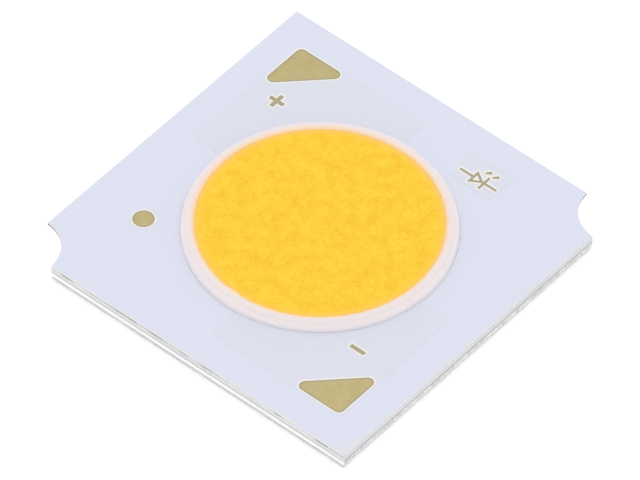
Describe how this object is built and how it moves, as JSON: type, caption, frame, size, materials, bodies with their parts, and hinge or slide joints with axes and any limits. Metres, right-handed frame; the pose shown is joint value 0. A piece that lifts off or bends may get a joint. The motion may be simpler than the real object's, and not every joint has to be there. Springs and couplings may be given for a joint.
{
  "type": "cob led",
  "caption": "Square chip-on-board light source: notched aluminium plate, white mask, gold solder pads, and a round yellow phosphor fill inside a silicone dam.",
  "frame": {"origin": "centre of the aluminium plate's underside", "axes": "+Z is the side that lights; the plus pad is at (-X, +Y), the minus pad at (+X, -Y), and the two corner notches at (-X, -Y) and (+X, +Y)"},
  "size_m": [0.019, 0.019, 0.0014],
  "materials": {
    "plate_aluminium": "bright",
    "bonding_film": "matte",
    "laminate_white": "matte",
    "copper": "satin",
    "gold_plating": "satin",
    "mask_white": "satin",
    "dam_silicone": "gloss",
    "phosphor_silicone": "satin",
    "die_adhesive": "matte",
    "die_blue": "gloss",
    "bond_wire_gold": "bright"
  },
  "bodies": {
    "root": {"base_plate": "plate_aluminium", "bonding_film": "bonding_film", "laminate": "laminate_white", "positive_copper": "copper", "negative_copper": "copper", "case_point_copper": "copper", "symbol_copper": "copper", "solder_mask": "mask_white", "positive_pad_plating": "gold_plating", "negative_pad_plating": "gold_plating", "plus_sign_plating": "gold_plating", "minus_sign_plating": "gold_plating", "case_point_plating": "gold_plating", "symbol_plating": "gold_plating", "positive_land_plating": "gold_plating", "negative_land_plating": "gold_plating", "dam_ring": "dam_silicone", "phosphor_fill": "phosphor_silicone", "die_attach": "die_adhesive", "string_1_bond_wires": "bond_wire_gold", "string_1_die_01": "die_blue", "string_1_die_02": "die_blue", "string_1_die_03": "die_blue", "string_1_die_04": "die_blue", "string_1_die_05": "die_blue", "string_1_die_06": "die_blue", "string_1_die_07": "die_blue", "string_1_die_08": "die_blue", "string_1_die_09": "die_blue", "string_1_die_10": "die_blue", "string_1_die_11": "die_blue", "string_1_die_12": "die_blue", "string_2_bond_wires": "bond_wire_gold", "string_2_die_01": "die_blue", "string_2_die_02": "die_blue", "string_2_die_03": "die_blue", "string_2_die_04": "die_blue", "string_2_die_05": "die_blue", "string_2_die_06": "die_blue", "string_2_die_07": "die_blue", "string_2_die_08": "die_blue", "string_2_die_09": "die_blue", "string_2_die_10": "die_blue", "string_2_die_11": "die_blue", "string_2_die_12": "die_blue", "string_3_bond_wires": "bond_wire_gold", "string_3_die_01": "die_blue", "string_3_die_02": "die_blue", "string_3_die_03": "die_blue", "string_3_die_04": "die_blue", "string_3_die_05": "die_blue", "string_3_die_06": "die_blue", "string_3_die_07": "die_blue", "string_3_die_08": "die_blue", "string_3_die_09": "die_blue", "string_3_die_10": "die_blue", "string_3_die_11": "die_blue", "string_3_die_12": "die_blue"}
  },
  "joints": []
}
